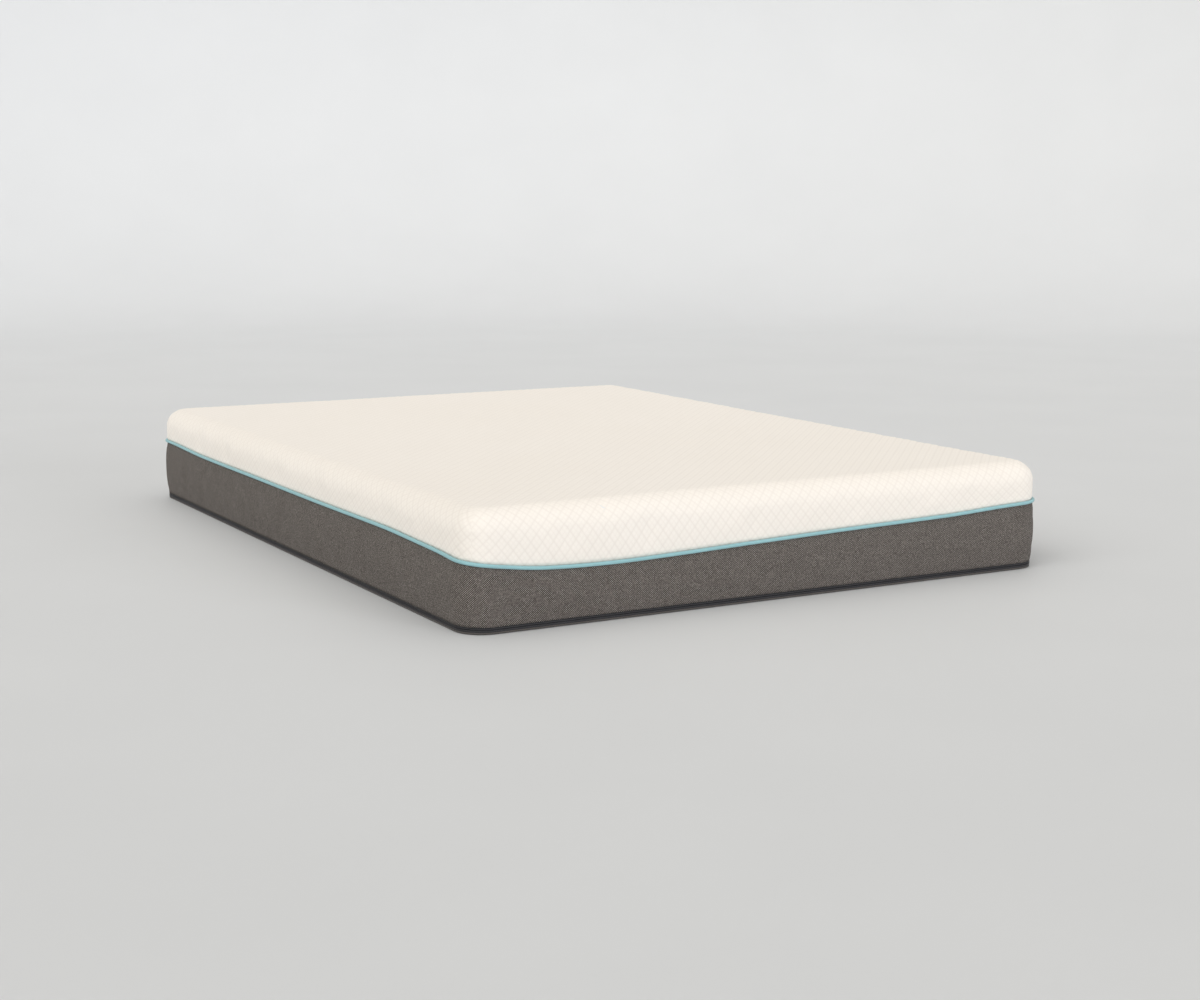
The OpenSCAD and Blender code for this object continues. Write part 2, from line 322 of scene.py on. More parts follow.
# %% Sockets that can be reckoned with
class Wire:
    """One output socket of a material."""

    def __init__(self, finish, socket):
        self.finish = finish
        self.socket = socket

    def reckon(self, operation, *values):
        return self.finish.node("ShaderNodeMath", {"operation": operation},
                                dict(enumerate(values)))

    def __add__(self, other):
        return self.reckon("ADD", self, other)

    __radd__ = __add__

    def __sub__(self, other):
        return self.reckon("SUBTRACT", self, other)

    def __rsub__(self, other):
        return self.reckon("SUBTRACT", other, self)

    def __mul__(self, other):
        return self.reckon("MULTIPLY", self, other)

    __rmul__ = __mul__

    def __pow__(self, other):
        return self.reckon("POWER", self, other)

    def __abs__(self):
        return self.reckon("ABSOLUTE", self)

    def sine(self):
        return self.reckon("SINE", self)


class Finish:
    """A material and the one way to add nodes to it."""

    def __init__(self, name):
        self.material = bpy.data.materials.new(name)
        self.material.use_nodes = True
        self.tree = self.material.node_tree
        self.shader = self.tree.nodes["Principled BSDF"]

    def node(self, kind, settings=None, sockets=None, output=0):
        made = self.tree.nodes.new(kind)
        for name, value in (settings or {}).items():
            if name == "stops":
                self.set_stops(made, value)
            else:
                setattr(made, name, value)
        for name, value in (sockets or {}).items():
            self.feed(made.inputs[name], value)
        return Wire(self, made.outputs[output])

    @staticmethod
    def set_stops(ramp_node, stops):
        elements = ramp_node.color_ramp.elements
        while len(elements) < len(stops):
            elements.new(0.5)
        for element, (place, colour) in zip(elements, stops):
            element.position = place
            element.color = (*colour, 1)

    def feed(self, socket, value):
        if isinstance(value, Wire):
            self.tree.links.new(value.socket, socket)
        else:
            socket.default_value = value

    def surface(self, **sockets):
        """Feeds the shader; names have underscores for spaces."""
        for name, value in sockets.items():
            self.feed(self.shader.inputs[name.replace("_", " ")], value)
        return self.material

    def cloth(self):
        """Along and across the cloth, in metres."""
        place = self.node("ShaderNodeUVMap", {"uv_map": "cloth"})
        along = self.node("ShaderNodeSeparateXYZ", None, {0: place})
        return along, Wire(self, along.socket.node.outputs[1])

    def where(self):
        """The place in the object's own space."""
        return self.node("ShaderNodeTexCoord", output=3)

    def noise(self, scale, detail=2.0, roughness=0.5):
        """Uneven value about 0.5 over the object's own space."""
        return self.node("ShaderNodeTexNoise", {"noise_dimensions": "3D"},
                         {"Vector": self.where(), "Scale": scale, "Detail": detail,
                          "Roughness": roughness})

    def wave(self, length, pitch, shift=0.0):
        """Sine from -1 to 1 that repeats every pitch."""
        return (length * (2 * math.pi / pitch) + shift).sine()

    def blend(self, factor, first, second):
        """Mixes two colours by a factor."""
        first, second = (value if isinstance(value, Wire) else (*value, 1)
                         for value in (first, second))
        return self.node("ShaderNodeMix", {"data_type": "RGBA"},
                         {0: factor, 6: first, 7: second}, output=2)

    def bump(self, height, distance, strength=1.0, onto=None):
        """A Bump node; distance is in metres."""
        sockets = {"Height": height, "Distance": distance, "Strength": strength}
        if onto is not None:
            sockets["Normal"] = onto
        return self.node("ShaderNodeBump", None, sockets)


def from_srgb(red, green, blue):
    """Linear colour of an 8-bit screen colour."""
    def one(value):
        value = value / 255
        return value / 12.92 if value <= 0.04045 else ((value + 0.055) / 1.055) ** 2.4
    return tuple(one(value) for value in (red, green, blue))


print("shader helper ready")

# %% [markdown]
# ## Domes: a top with a skirt
#
# The cap, its filling, the sock and the top foam layer have the same build. A flat block
# fills the middle, between the centre lines of the four corners. Round it goes a skirt,
# which is one section carried once round the edge. Each place also gets its cloth
# coordinates: the flat top's own x and y, carried on over the edge by the length of the
# cloth. At each corner's middle the two sides' cloths meet in a mitre, like a sewn dart.

# %% Dome helpers
def side_of(run):
    """Which side a distance run belongs to: head 0, left 1, foot 2, right 3."""
    ends = straight_x / 2 + corner_arc / 2 + np.array([
        0, straight_y + corner_arc, straight_y + straight_x + 2 * corner_arc,
        2 * straight_y + straight_x + 3 * corner_arc])
    return np.searchsorted(ends, run % whole_run, side="right") % 4


def cloth_places(run, side, lengths, reach, stretch):
    """Cloth coordinates (n, m, 2), and the distance (n, m) to the mitre."""
    middles = np.array([0, (straight_x + straight_y) / 2 + corner_arc, whole_run / 2,
                        whole_run - (straight_x + straight_y) / 2 - corner_arc])[side]
    apart = ((run - middles + whole_run / 2) % whole_run - whole_run / 2)[:, None]
    ends = side[:, None] % 2 == 0
    half = np.where(ends, straight_x, straight_y) / 2
    past = np.maximum(np.abs(apart) - half, 0) / corner_radius * reach
    along = np.sign(apart) * (np.minimum(np.abs(apart), half) + past)
    across = np.where(ends, straight_y / 2 + lengths, straight_x / 2 + lengths * stretch)
    side = side[:, None]
    x = np.select([side == 0, side == 1, side == 2], [-along, -across, along], across)
    y = np.select([side == 0, side == 1, side == 2], [across, -along, -across], along)
    mitre = half + corner_arc / 2 / corner_radius * reach - np.abs(along)
    return np.stack([x, y], -1), mitre


fade_width = 12 * mm


def dome(cells_x, cells_y, cells_corner, section, lengths, relief=None, first=0, stretch=1.0,
         split=4):
    """Points, faces, cloth places and the numbers of the skirt's last points.

    section(run) gives insets and heights (n, m), starting on the corners' centre line.
    lengths (m) are running lengths over the cloth. relief(cloth, fade) moves the
    surface along its normal, and fades out at the mitres. stretch widens the cloth that
    hangs over the long sides. A face whose row and column add up to one less than a
    multiple of split is cut along its other diagonal."""
    run = edge_stations(cells_x, cells_y, cells_corner)
    inset, height = section(run)
    skirt = place_section(run, inset, height)
    reach = np.maximum(corner_radius - inset, 0)
    places, mitre = cloth_places(run, side_of(run), lengths, reach, stretch)
    x = np.linspace(-straight_x / 2, straight_x / 2, cells_x + 1)
    y = np.linspace(-straight_y / 2, straight_y / 2, cells_y + 1)
    block = np.stack(np.meshgrid(x, y, indexing="ij") + [
        np.full((cells_x + 1, cells_y + 1), height[0, 0])], -1)
    block_places = block[:, :, :2].copy()
    if relief:
        out_step = -np.gradient(inset, axis=1)
        up_step = np.gradient(height, axis=1)
        size = np.maximum(np.hypot(out_step, up_step), 1e-9)
        push = relief(places, smooth(mitre, 0, fade_width))
        _, out = round_edge(run)
        skirt[:, :, :2] += (push * -up_step / size)[:, :, None] * out[:, None, :]
        skirt[:, :, 2] += push * out_step / size
        edge = np.maximum(straight_x / 2 - abs(block[:, :, 0]), straight_y / 2 - abs(block[:, :, 1]))
        block[:, :, 2] += relief(block_places, smooth(edge, 0, fade_width))
    block_faces, i, j = grid_faces(cells_x + 1, cells_y + 1, first)
    block_cloth = np.stack([block_places[i, j], block_places[i + 1, j],
                            block_places[i + 1, j + 1], block_places[i, j + 1]], axis=1)
    along_groove = [(i + j + 1) % split == 0]
    rows, columns = inset.shape
    count = block[:, :, 0].size
    skirt_faces, i, j = grid_faces(rows, columns, first + count, wrap_rows=True)
    along_groove.append((i + j + 1) % split == 0)
    following = np.append(run[1:], run[0] + whole_run)
    side = side_of((run + following) / 2)
    here, _ = cloth_places(run, side, lengths, reach, stretch)
    there, _ = cloth_places(following, side, lengths, np.roll(reach, -1, axis=0), stretch)
    skirt_cloth = np.stack([here[i, j], there[i, j], there[i, j + 1], here[i, j + 1]], axis=1)
    faces = np.concatenate([block_faces, skirt_faces])
    cloth = np.concatenate([block_cloth, skirt_cloth])
    turned = np.concatenate(along_groove)
    faces[turned] = faces[turned][:, [1, 2, 3, 0]]
    cloth[turned] = cloth[turned][:, [1, 2, 3, 0]]
    points = np.concatenate([block.reshape(-1, 3), skirt.reshape(-1, 3)])
    last = first + count + np.arange(rows) * columns + columns - 1
    return points, faces, cloth, last


def roll_lengths(flat, arc, wall, flat_cells, roll_cells, wall_cells):
    """Running lengths over a flat top, its rounded edge and the wall below."""
    return np.concatenate([np.linspace(0, flat, flat_cells, endpoint=False),
                           flat + np.linspace(0, arc, roll_cells, endpoint=False),
                           flat + arc + np.linspace(0, wall, wall_cells + 1)])


def rolled(inset, roll, high, low, cells):
    """A fixed section with a rounded top edge: its function of the run, and its lengths."""
    flat = corner_radius - inset - roll
    arc = roll * math.pi / 2
    lengths = roll_lengths(flat, arc, high - roll - low, *cells)
    turn = np.clip((lengths - flat) / roll, 0, math.pi / 2)
    insets = np.where(lengths < flat, corner_radius - lengths, inset + roll * (1 - np.sin(turn)))
    heights = high - roll * (1 - np.cos(turn)) - np.maximum(lengths - flat - arc, 0)

    def section(run):
        return all_round(run, insets, heights)
    return section, lengths


def join_rims(outer, inner):
    """Faces between two rims; the outer one may have several points to each inner one."""
    several = len(outer) // len(inner)
    faces = []
    for k in range(len(inner)):
        far = [outer[(k * several + n) % len(outer)] for n in range(several + 1)]
        faces.append([*far, inner[(k + 1) % len(inner)], inner[k]])
    return [[int(v) for v in face] for face in faces]


def weld(piece):
    """Joins points that coincide and turns every face outwards."""
    work = bmesh.new()
    work.from_mesh(piece.data)
    bmesh.ops.remove_doubles(work, verts=work.verts, dist=0.01 * mm)
    bmesh.ops.recalc_face_normals(work, faces=work.faces)
    loose = sum(not edge.is_manifold for edge in work.edges)
    work.to_mesh(piece.data)
    work.free()
    for face in piece.data.polygons:
        face.use_smooth = True
    print(f"{piece.name}: {len(piece.data.polygons)} faces, {loose} open edges")
    return piece


def shell(name, outer, inner, body, slot, replaces):
    """A closed piece from two domes, the second one's numbers following the first's."""
    rim = join_rims(outer[3], inner[3])
    faces = outer[1].tolist() + inner[1].tolist() + rim
    points = np.concatenate([outer[0], inner[0]])
    cloth = np.concatenate([outer[2].reshape(-1, 2), inner[2].reshape(-1, 2),
                            np.zeros((sum(len(face) for face in rim), 2))])
    return weld(make_piece(name, points, faces, cloth, body, slot, replaces))


print("dome helpers ready")

# %% [markdown]
# ## How far the padding swells
#
# The cap's wall and the mesh border are padded, so both belly out between their seams.
# A cloth simulation finds that shape better than a formula, because the corners stay
# tighter than the long sides. Each band is made once as a coarse open skirt, held along
# its seams, slightly too large, and pushed outwards by pressure 4 with gravity off. What
# the simulation gives is kept as a table of movements and added to the fine surfaces,
# which would be far too heavy to simulate.

# %% Cloth simulation of a band
last_frame = 20
cloth_settings = {"quality": 6, "mass": 0.25, "tension_stiffness": 25,
                  "compression_stiffness": 25, "shear_stiffness": 10, "bending_stiffness": 2,
                  "shrink_min": -0.012, "use_pressure": True, "uniform_pressure_force": 4}


def blown(name, run, inset, height, most):
    """Movements (n, m, 3) of a band's points under Blender's cloth, capped at most."""
    points = place_section(run, inset, height)
    rows, columns = inset.shape
    mesh = bpy.data.meshes.new(name)
    faces, _, _ = grid_faces(rows, columns, wrap_rows=True)
    mesh.from_pydata(points.reshape(-1, 3), [], faces.tolist())
    work = bmesh.new()
    work.from_mesh(mesh)
    bmesh.ops.recalc_face_normals(work, faces=work.faces)
    work.to_mesh(mesh)
    work.free()
    face = mesh.polygons[len(mesh.polygons) // 2]
    if face.normal.dot(Vector((face.center.x, face.center.y, 0))) < 0:
        mesh.flip_normals()
    band = bpy.data.objects.new(name, mesh)
    bpy.context.scene.collection.objects.link(band)
    pins = band.vertex_groups.new(name="held")
    for column in (0, columns - 1):
        pins.add((np.arange(rows) * columns + column).tolist(), 1.0, "REPLACE")
    cloth = band.modifiers.new("swell", "CLOTH")
    for setting, value in cloth_settings.items():
        setattr(cloth.settings, setting, value)
    cloth.settings.vertex_group_mass = "held"
    cloth.settings.effector_weights.gravity = 0
    cloth.collision_settings.use_collision = False
    cloth.point_cache.frame_start = 1
    cloth.point_cache.frame_end = last_frame
    scene = bpy.context.scene
    for frame_number in range(1, last_frame + 1):
        scene.frame_set(frame_number)
    seen = band.evaluated_get(bpy.context.evaluated_depsgraph_get()).to_mesh()
    after = np.zeros(len(points.reshape(-1, 3)) * 3)
    seen.vertices.foreach_get("co", after)
    moved = after.reshape(points.shape) - points
    bpy.data.objects.remove(band)
    scene.frame_set(1)
    _, out = round_edge(run)
    outwards = (moved[:, :, :2] * out[:, None, :]).sum(2)
    upwards = moved[:, :, 2]
    size = np.hypot(outwards, upwards).max()
    calm = min(1.0, most / max(size, 1e-9))
    print(f"{name}: moved up to {size / mm:.1f} mm, kept {size * calm / mm:.1f} mm")
    return np.stack([outwards, upwards], -1) * calm


def from_table(table, table_run, table_lengths, run, lengths):
    """The table's movements at other distances run and lengths."""
    start = table_run[0]
    wrapped = np.append(table_run, start + whole_run)
    at = (np.asarray(run) - start) % whole_run + start
    rows = np.concatenate([table, table[:1]])
    lengths = np.broadcast_to(lengths, (len(at), np.shape(lengths)[-1]))
    result = np.zeros((*lengths.shape, 2))
    for part in (0, 1):
        by_run = np.stack([np.interp(at, wrapped, rows[:, k, part])
                           for k in range(table.shape[1])], 1)
        result[:, :, part] = np.stack([np.interp(wanted, table_lengths, row)
                                       for wanted, row in zip(lengths, by_run)])
    return result


print("cloth runs for", last_frame, "frames")

# %% [markdown]
# The cap's section runs over the flat top, round the roll and down to the seam, and the
# border's from the seam down to its hem. Both keep clear of the piping between them. The
# cloth's movements are worked out here once for each.

# %% Swell of the cap's wall and of the border
seam_gap = 0.5 * mm
hair = 0.05 * mm
cap_most, border_most = 4.0 * mm, 3.0 * mm
flat_width = corner_radius - cap_inset - cap_roll
cap_arc = cap_roll * math.pi / 2
cap_wall = top_height - cap_roll - seam_height - seam_gap


def clear_of_piping(run, inset, height, deeper=0.0):
    """Moves places that lie inside the piping out to its surface."""
    out = inset - piping_radius
    up = height - seam_at(run)[:, None]
    away = np.hypot(out, up)
    least = piping_radius + hair + deeper
    grow = np.where(away < least, least / np.maximum(away, 1e-6), 1.0)
    return piping_radius + out * grow, seam_at(run)[:, None] + up * grow


def cap_section(columns, deeper=0.0, swell=None):
    """The cap's section at these lengths over its face, moved inwards by deeper."""
    roll = cap_roll - deeper
    turn = np.clip((columns - flat_width) / cap_roll, 0, math.pi / 2)
    share = np.clip((columns - flat_width - cap_arc) / cap_wall, 0, 1)

    def section(run):
        insets = np.where(columns < flat_width, corner_radius - columns,
                          cap_inset + cap_roll - roll * np.sin(turn))
        heights = top_height - cap_roll + roll * np.cos(turn)
        fall = (top_height - cap_roll - seam_at(run) - seam_gap)[:, None] * share
        insets, heights = np.tile(insets, (len(run), 1)), heights - fall
        if swell is not None:
            moved = from_table(swell, band_run, band_lengths, run, columns)
            insets, heights = insets - moved[:, :, 0], heights + moved[:, :, 1]
        return clear_of_piping(run, insets, heights, deeper)
    return section


band_run = edge_stations(54, 72, 8)
band_lengths = roll_lengths(flat_width, cap_arc, cap_wall, 1, 8, 8)[1:]
cap_swell = blown("cap_wall", band_run, *cap_section(band_lengths)(band_run), cap_most)

border_bulge = cap_inset - inset_of("border_mesh")
border_half = (seam_height - seam_gap - border_low) / 2
border_arc = (border_half ** 2 + border_bulge ** 2) / (2 * border_bulge)


def border_section(run, shares, deeper=0.0):
    """The border's face, from the seam (share 0) to its hem (share 1)."""
    shares = np.broadcast_to(shares, (len(run), np.shape(shares)[-1]))
    from_middle = (2 * shares - 1) * border_half
    inset = cap_inset - border_bulge + border_arc - np.sqrt(border_arc ** 2 - from_middle ** 2)
    top = (seam_at(run) - seam_gap)[:, None]
    return inset + deeper, top + (border_low - top) * shares


border_shares = np.linspace(0, 1, 15)
border_swell = blown("border_band", band_run, *border_section(band_run, border_shares),
                     border_most)
print("swell tables", cap_swell.shape, border_swell.shape)

# %% [markdown]
# ## The knit cap
#
# The cap is one piece of thick stretch knit with a diamond relief of shallow pillows.
# The relief could be left to a bump map, but the meshes are used by themselves too, so
# the pillows are real: the grid's lines are laid out so that four steps make one diamond
# and the grooves run exactly along the faces' diagonals. Each face is then turned so
# that its diagonal follows the groove, which keeps the valleys crisp with few faces.

# %% Knit cap
diamonds_x, diamonds_y = 53, 68
steps = 4
diamond_wide = straight_x / diamonds_x
diamond_high = straight_y / diamonds_y
pillow_height = 1.0 * mm
pillow_flatness = 0.7
slow_height, slow_size = 0.6 * mm, 0.16


def diamond_relief(cloth, fade):
    """Pillows with soft grooves, and a slow unevenness under them."""
    first = (cloth[..., 0] + straight_x / 2) / diamond_wide
    second = (cloth[..., 1] + straight_y / 2) / diamond_high
    ridges = np.abs(np.sin(math.pi * (first + second)) * np.sin(math.pi * (first - second)))
    slow = (1 + ripple(cloth[..., 0], cloth[..., 1], slow_size)) * slow_height
    return (ridges ** pillow_flatness - 1) * pillow_height * fade + slow * fade


column_step = diamond_high / steps
knit_thickness = high_of("knit_cap") - high_of("cap_fibre_fill")
cap_run = flat_width + cap_arc + cap_wall
shortest_step = 0.6 * column_step
cap_columns = np.append(np.arange(0, cap_run - shortest_step, column_step), cap_run)
back_columns = roll_lengths(flat_width, cap_arc, cap_wall, 2, 6, 5)
cap_face = dome(diamonds_x * steps, diamonds_y * steps, 4 * steps,
                cap_section(cap_columns, 0, cap_swell), cap_columns, diamond_relief,
                stretch=diamond_wide / diamond_high)
cap_back = dome(diamonds_x, diamonds_y, 4, cap_section(back_columns, knit_thickness, cap_swell),
                back_columns, first=len(cap_face[0]))
knit_cap = shell("stretch_knit_cap", cap_face, cap_back, "cover", "cap_knit", "knit_cap")

# %% [markdown]
# ## Filling under the cap
#
# Soft fibre is sewn in under the knit. It is seen only when the cover is off, from below,
# so its outer side simply follows the knit's back and its inner side is a little lumpy.
# The lumps only ever go into the filling, so the core always has room under it.

# %% Cap filling
lining_roll = foam_roll + foam_inset - cap_lining
fill_top = high_of("fire_sock") + cover_clearance
lining_low = seam_height + seam_gap
lining_section, lining_lengths = rolled(cap_lining, lining_roll, fill_top, lining_low, (2, 8, 6))


def lining_with_seam(run):
    """The lining's section, its wall cut off along the wandering seam."""
    insets, heights = lining_section(run)
    turn_low = fill_top - lining_roll
    share = np.clip((turn_low - heights) / (turn_low - lining_low), 0, 1)
    wall = turn_low - share * (turn_low - seam_at(run) - seam_gap)[:, None]
    return insets, np.where(heights < turn_low, wall, heights)


def fibre_lumps(cloth, fade):
    """Lumps up to 0.8 mm high and some 50 mm apart."""
    return (1 + ripple(cloth[..., 0], cloth[..., 1], 0.05, 2.0)) * 0.4 * mm * fade


layer_gap = 0.1 * mm
fill_columns = roll_lengths(flat_width, cap_arc, cap_wall, 2, 8, 6)
fill_face = dome(diamonds_x, diamonds_y, 4,
                 cap_section(fill_columns, knit_thickness + layer_gap, cap_swell), fill_columns)
fill_back = dome(diamonds_x, diamonds_y, 4, lining_with_seam, lining_lengths, fibre_lumps,
                 first=len(fill_face[0]))
cap_fill = shell("cap_filling", fill_face, fill_back, "cover", "fibre_fill", "cap_fibre_fill")

# %% [markdown]
# ## Piping
#
# Piping is a strip of cloth wrapped round a cord, its two edges caught together in the
# seam. A curve with a round bevel would look right from outside, but the strip is modelled
# as the strip it is: out along one layer of the seam allowance, round the cord, and back.
# The cord inside is three strands twisted together.

# %% Piping strip and cord
piping_run = edge_stations(136, 188, 14)
allowance = cap_lining - layer_gap
layer_thick = 0.5 * mm
slit = 0.03 * mm
wrap = cord_radius + hair
outer_turn = math.asin(layer_thick / piping_radius)
inner_turn = math.asin(slit / wrap)
outer_angles = np.linspace(outer_turn, 2 * math.pi - outer_turn, 21)
inner_angles = np.linspace(2 * math.pi - inner_turn, inner_turn, 13)
pucker = 1 + 0.018 * ripple(piping_run, 0 * piping_run, 0.011)[:, None]
strip_out = piping_radius * pucker * np.cos(outer_angles)
strip_up = piping_radius * pucker * np.sin(outer_angles)
core_out = np.tile(wrap * np.cos(inner_angles), (len(piping_run), 1))
core_up = np.tile(wrap * np.sin(inner_angles), (len(piping_run), 1))
end = np.full((len(piping_run), 1), allowance - piping_radius)
level = np.ones((len(piping_run), 1))
strip_inset = piping_radius + np.hstack([end, strip_out, end, end, core_out, end])
strip_height = np.hstack([layer_thick * level, strip_up, -layer_thick * level, -slit * level,
                          core_up, slit * level]) + seam_at(piping_run)[:, None]
piping = weld(make_piece("piping_strip", *close_ring(piping_run, strip_inset, strip_height),
                         "cover", "piping_cloth", "piping_cover"))

strand_count, twist_length = 3, 60 * mm
cord_run = edge_stations(344, 472, 26)
cord_turn = np.linspace(0, 2 * math.pi, 15, endpoint=False)
twist = cord_run[:, None] * (2 * math.pi * round(whole_run / twist_length) / whole_run)
bulges = np.abs(np.cos(strand_count / 2 * (cord_turn - twist)))
strands = cord_radius * (0.9 + 0.08 * bulges)
cord = weld(make_piece(
    "piping_filler_cord",
    *close_ring(cord_run, piping_radius + strands * np.cos(cord_turn),
                strands * np.sin(cord_turn) + seam_at(cord_run)[:, None]),
    "cover", "piping_cord", "piping_cord"))

# %% [markdown]
# ## Mesh border and its padding
#
# Below the piping the side is a band of spacer mesh with padding behind it, sewn along
# the piping and again along the zip. It takes its belly from the simulated table. The
# band is a closed strip with a real thickness, and its top edge curls in under the piping.

# %% Border
mesh_thickness = 1.2 * mm
border_run = edge_stations(116, 160, 12)
face_shares = np.linspace(0, 1, 22)


def border_at(run, shares, deeper=0.0):
    """The border's face with its swell, moved inwards by deeper."""
    inset, height = border_section(run, shares, deeper)
    moved = from_table(border_swell, band_run, border_shares, run, shares)
    return clear_of_piping(run, inset - moved[:, :, 0], height + moved[:, :, 1], deeper)


def loop_of(front, back):
    """One closed section from a front and a back that both run downwards."""
    return [np.hstack([a, b[:, ::-1]]) for a, b in zip(front, back)]


def slack(run, height, size, depth):
    """Soft unevenness over a band, in metres."""
    return ripple(run[:, None] + 0 * height, height, size) * depth


front_inset, front_height = border_at(border_run, face_shares)
held_down = np.sin(math.pi * face_shares)
mesh_slack = slack(border_run, front_height, 90 * mm, 0.5 * mm)
front_inset = front_inset - mesh_slack * held_down
back = border_at(border_run, np.linspace(0, 1, 10), mesh_thickness)
border = weld(make_piece("mesh_border",
                         *close_ring(border_run, *loop_of((front_inset, front_height), back)),
                         "cover", "border_mesh", "border_mesh"))

padding_shares = np.linspace(0, 1, 14)
pad_inset, pad_height = border_at(border_run, padding_shares, mesh_thickness + layer_gap)
tape_behind = tape_inset + 0.8 * mm
over_tape = high_of("zipper_tape_upper") + 0.5 * mm
pad_inset = np.where(pad_height < over_tape, np.maximum(pad_inset, tape_behind), pad_inset)
pad_lumps = (1 + slack(border_run, pad_height, 40 * mm, 1.0)) * 0.25 * mm
pad_back_inset = cap_lining - pad_lumps
padding = weld(make_piece("border_wadding",
                          *close_ring(border_run, *loop_of((pad_inset, pad_height),
                                                           (pad_back_inset, pad_height))),
                          "cover", "fibre_fill", "border_padding"))

# %% [markdown]
# ## Foam core
#
# Three slabs of foam, glued: a firm base, a springy middle and slow memory foam on top
# with its edge rounded over. They are cut with a wire, so their faces wave very slightly.
# Each slab is two domes set rim to rim, one facing up and one facing down.

# %% Foam slabs
cut_roll = 3 * mm
# Cells over the flat middle, across and along.
coarse = (53, 68)


def foam_waves(cloth, fade):
    """The wire's waves, up to 0.5 mm deep."""
    return -(1 + ripple(cloth[..., 0], cloth[..., 1], 0.12, 1.0)) * 0.25 * mm * fade


def slab(name, node, roll, slot):
    """A block of foam between a node's floor and top, its top edge rounded by roll."""
    low, high = low_of(node) + layer_gap, high_of(node) - layer_gap
    rim = min((low + high) / 2, high - roll)
    upper, upper_lengths = rolled(foam_inset, roll, high, rim, (4, 6, 4))
    lower, lower_lengths = rolled(foam_inset, cut_roll, 2 * rim - low, rim, (4, 4, 4))

    def facing_down(run):
        insets, heights = lower(run)
        return insets, 2 * rim - heights
    above = dome(*coarse, 4, upper, upper_lengths, foam_waves)
    below = dome(*coarse, 4, facing_down, lower_lengths, first=len(above[0]))
    piece = shell(name, above, below, "core", slot, node)
    return piece


base_slab = slab("base_foam_slab", "support_foam_base", cut_roll, "base_foam")
middle_slab = slab("transition_foam_slab", "transition_foam_layer", cut_roll,
                   "transition_foam")
memory_slab = slab("memory_foam_slab", "memory_foam_layer", foam_roll, "memory_foam")

# %% [markdown]
# ## Fire sock
#
# A thin ribbed tube of knit is drawn over the stack of foam and turned in underneath. It
# lies tight on top, and gathers into small folds along its hem. Its section is the foam's
# own section, one knit thickness further out, with the hem added.

# %% Fire sock
sock_thickness = foam_inset - sock_inset
sock_floor = low_of("fire_sock") + hair
hem_width = 45 * mm
turn_in = 2 * mm
hem_cells = 6
fine = (106, 136)


def sock_section(deeper):
    """The sock's section and lengths, on its face (deeper 0) or its back."""
    roll = foam_roll + sock_thickness - deeper
    upper, lengths = rolled(sock_inset + deeper, roll, high_of("fire_sock") - deeper,
                            sock_floor + turn_in, (2, 8, 14))
    bend = np.linspace(0, math.pi / 2, 4)[1:]
    hem = np.linspace(0, foam_inset + hem_width - sock_inset - turn_in, hem_cells + 1)[1:]
    insets = np.concatenate([sock_inset + turn_in - (turn_in - deeper) * np.cos(bend),
                             sock_inset + turn_in + hem])
    heights = np.concatenate([sock_floor + turn_in - (turn_in - deeper) * np.sin(bend),
                              np.full(hem_cells, sock_floor + deeper)])
    more = lengths[-1] + np.concatenate([turn_in * bend, turn_in * math.pi / 2 + hem])

    def section(run):
        return [np.hstack(parts) for parts in zip(upper(run), all_round(run, insets, heights))]
    return section, np.concatenate([lengths, more])


def sock_folds(cloth, fade):
    """Fine slack folds, only inwards."""
    slow = ripple(cloth[..., 0], cloth[..., 1], 0.07, 4.0)
    return -(1 + slow) * 0.2 * mm * fade


face_section, sock_lengths = sock_section(0.0)
back_section, _ = sock_section(sock_thickness - layer_gap)
sock_face = dome(*fine, 8, face_section, sock_lengths, sock_folds)
sock_back = dome(*fine, 8, back_section, sock_lengths, first=len(sock_face[0]))
sock = shell("fire_barrier_sock", sock_face, sock_back, "core", "sock_knit", "fire_sock")
sock_flat = (straight_x + 2 * sock_lengths[-1], straight_y + 2 * sock_lengths[-1])
sock_flat[0] * sock_flat[1] - (4 - math.pi) * sock_lengths[-1] ** 2

# %% [markdown]
# ## Bottom panel
#
# The underside is a dark cloth with rubbery grip dots, turned up along its edge to meet
# the zip. The dots are real little domes in staggered rows, because the underside of a
# mattress is what a buyer checks for grip. They make the lowest 0.6 mm.

# %% Bottom panel and grip dots
panel_top = low_of("fire_sock")
rim_top = high_of("bottom_panel")
dot_height = 0.6 * mm
panel_inset = inset_of("bottom_panel")
rim_inner = tape_inset - hair


def fixed(places):
    """A section of fixed (inset, height) places, and its lengths."""
    places = np.array(places)
    steps_between = np.linalg.norm(np.diff(places, axis=0), axis=1)

    def section(run):
        return all_round(run, *places.T)
    return section, np.concatenate([[0], np.cumsum(steps_between)])


flat_stops = (corner_radius, 40 * mm, 14 * mm)
fold, cut = 1.2 * mm, 0.4 * mm
inside, inside_lengths = fixed([*((stop, panel_top) for stop in flat_stops),
                                (rim_inner + 1 * mm, panel_top),
                                (rim_inner, panel_top + 0.6 * mm), (rim_inner, rim_top - cut),
                                (rim_inner - cut, rim_top)])
outside, outside_lengths = fixed([*((stop, dot_height) for stop in flat_stops),
                                  (panel_inset + fold, dot_height),
                                  (panel_inset + cut, dot_height + cut),
                                  (panel_inset, dot_height + fold),
                                  (panel_inset, rim_top - cut), (panel_inset + cut, rim_top)])
panel_in = dome(*coarse, 8, inside, inside_lengths)
panel_out = dome(*coarse, 8, outside, outside_lengths, first=len(panel_in[0]))
panel = shell("bottom_cloth", panel_in, panel_out, "core", "non_slip_cloth", "bottom_panel")
panel_flat = (straight_x + 2 * outside_lengths[-1], straight_y + 2 * outside_lengths[-1])
panel_flat[0] * panel_flat[1] - (4 - math.pi) * outside_lengths[-1] ** 2

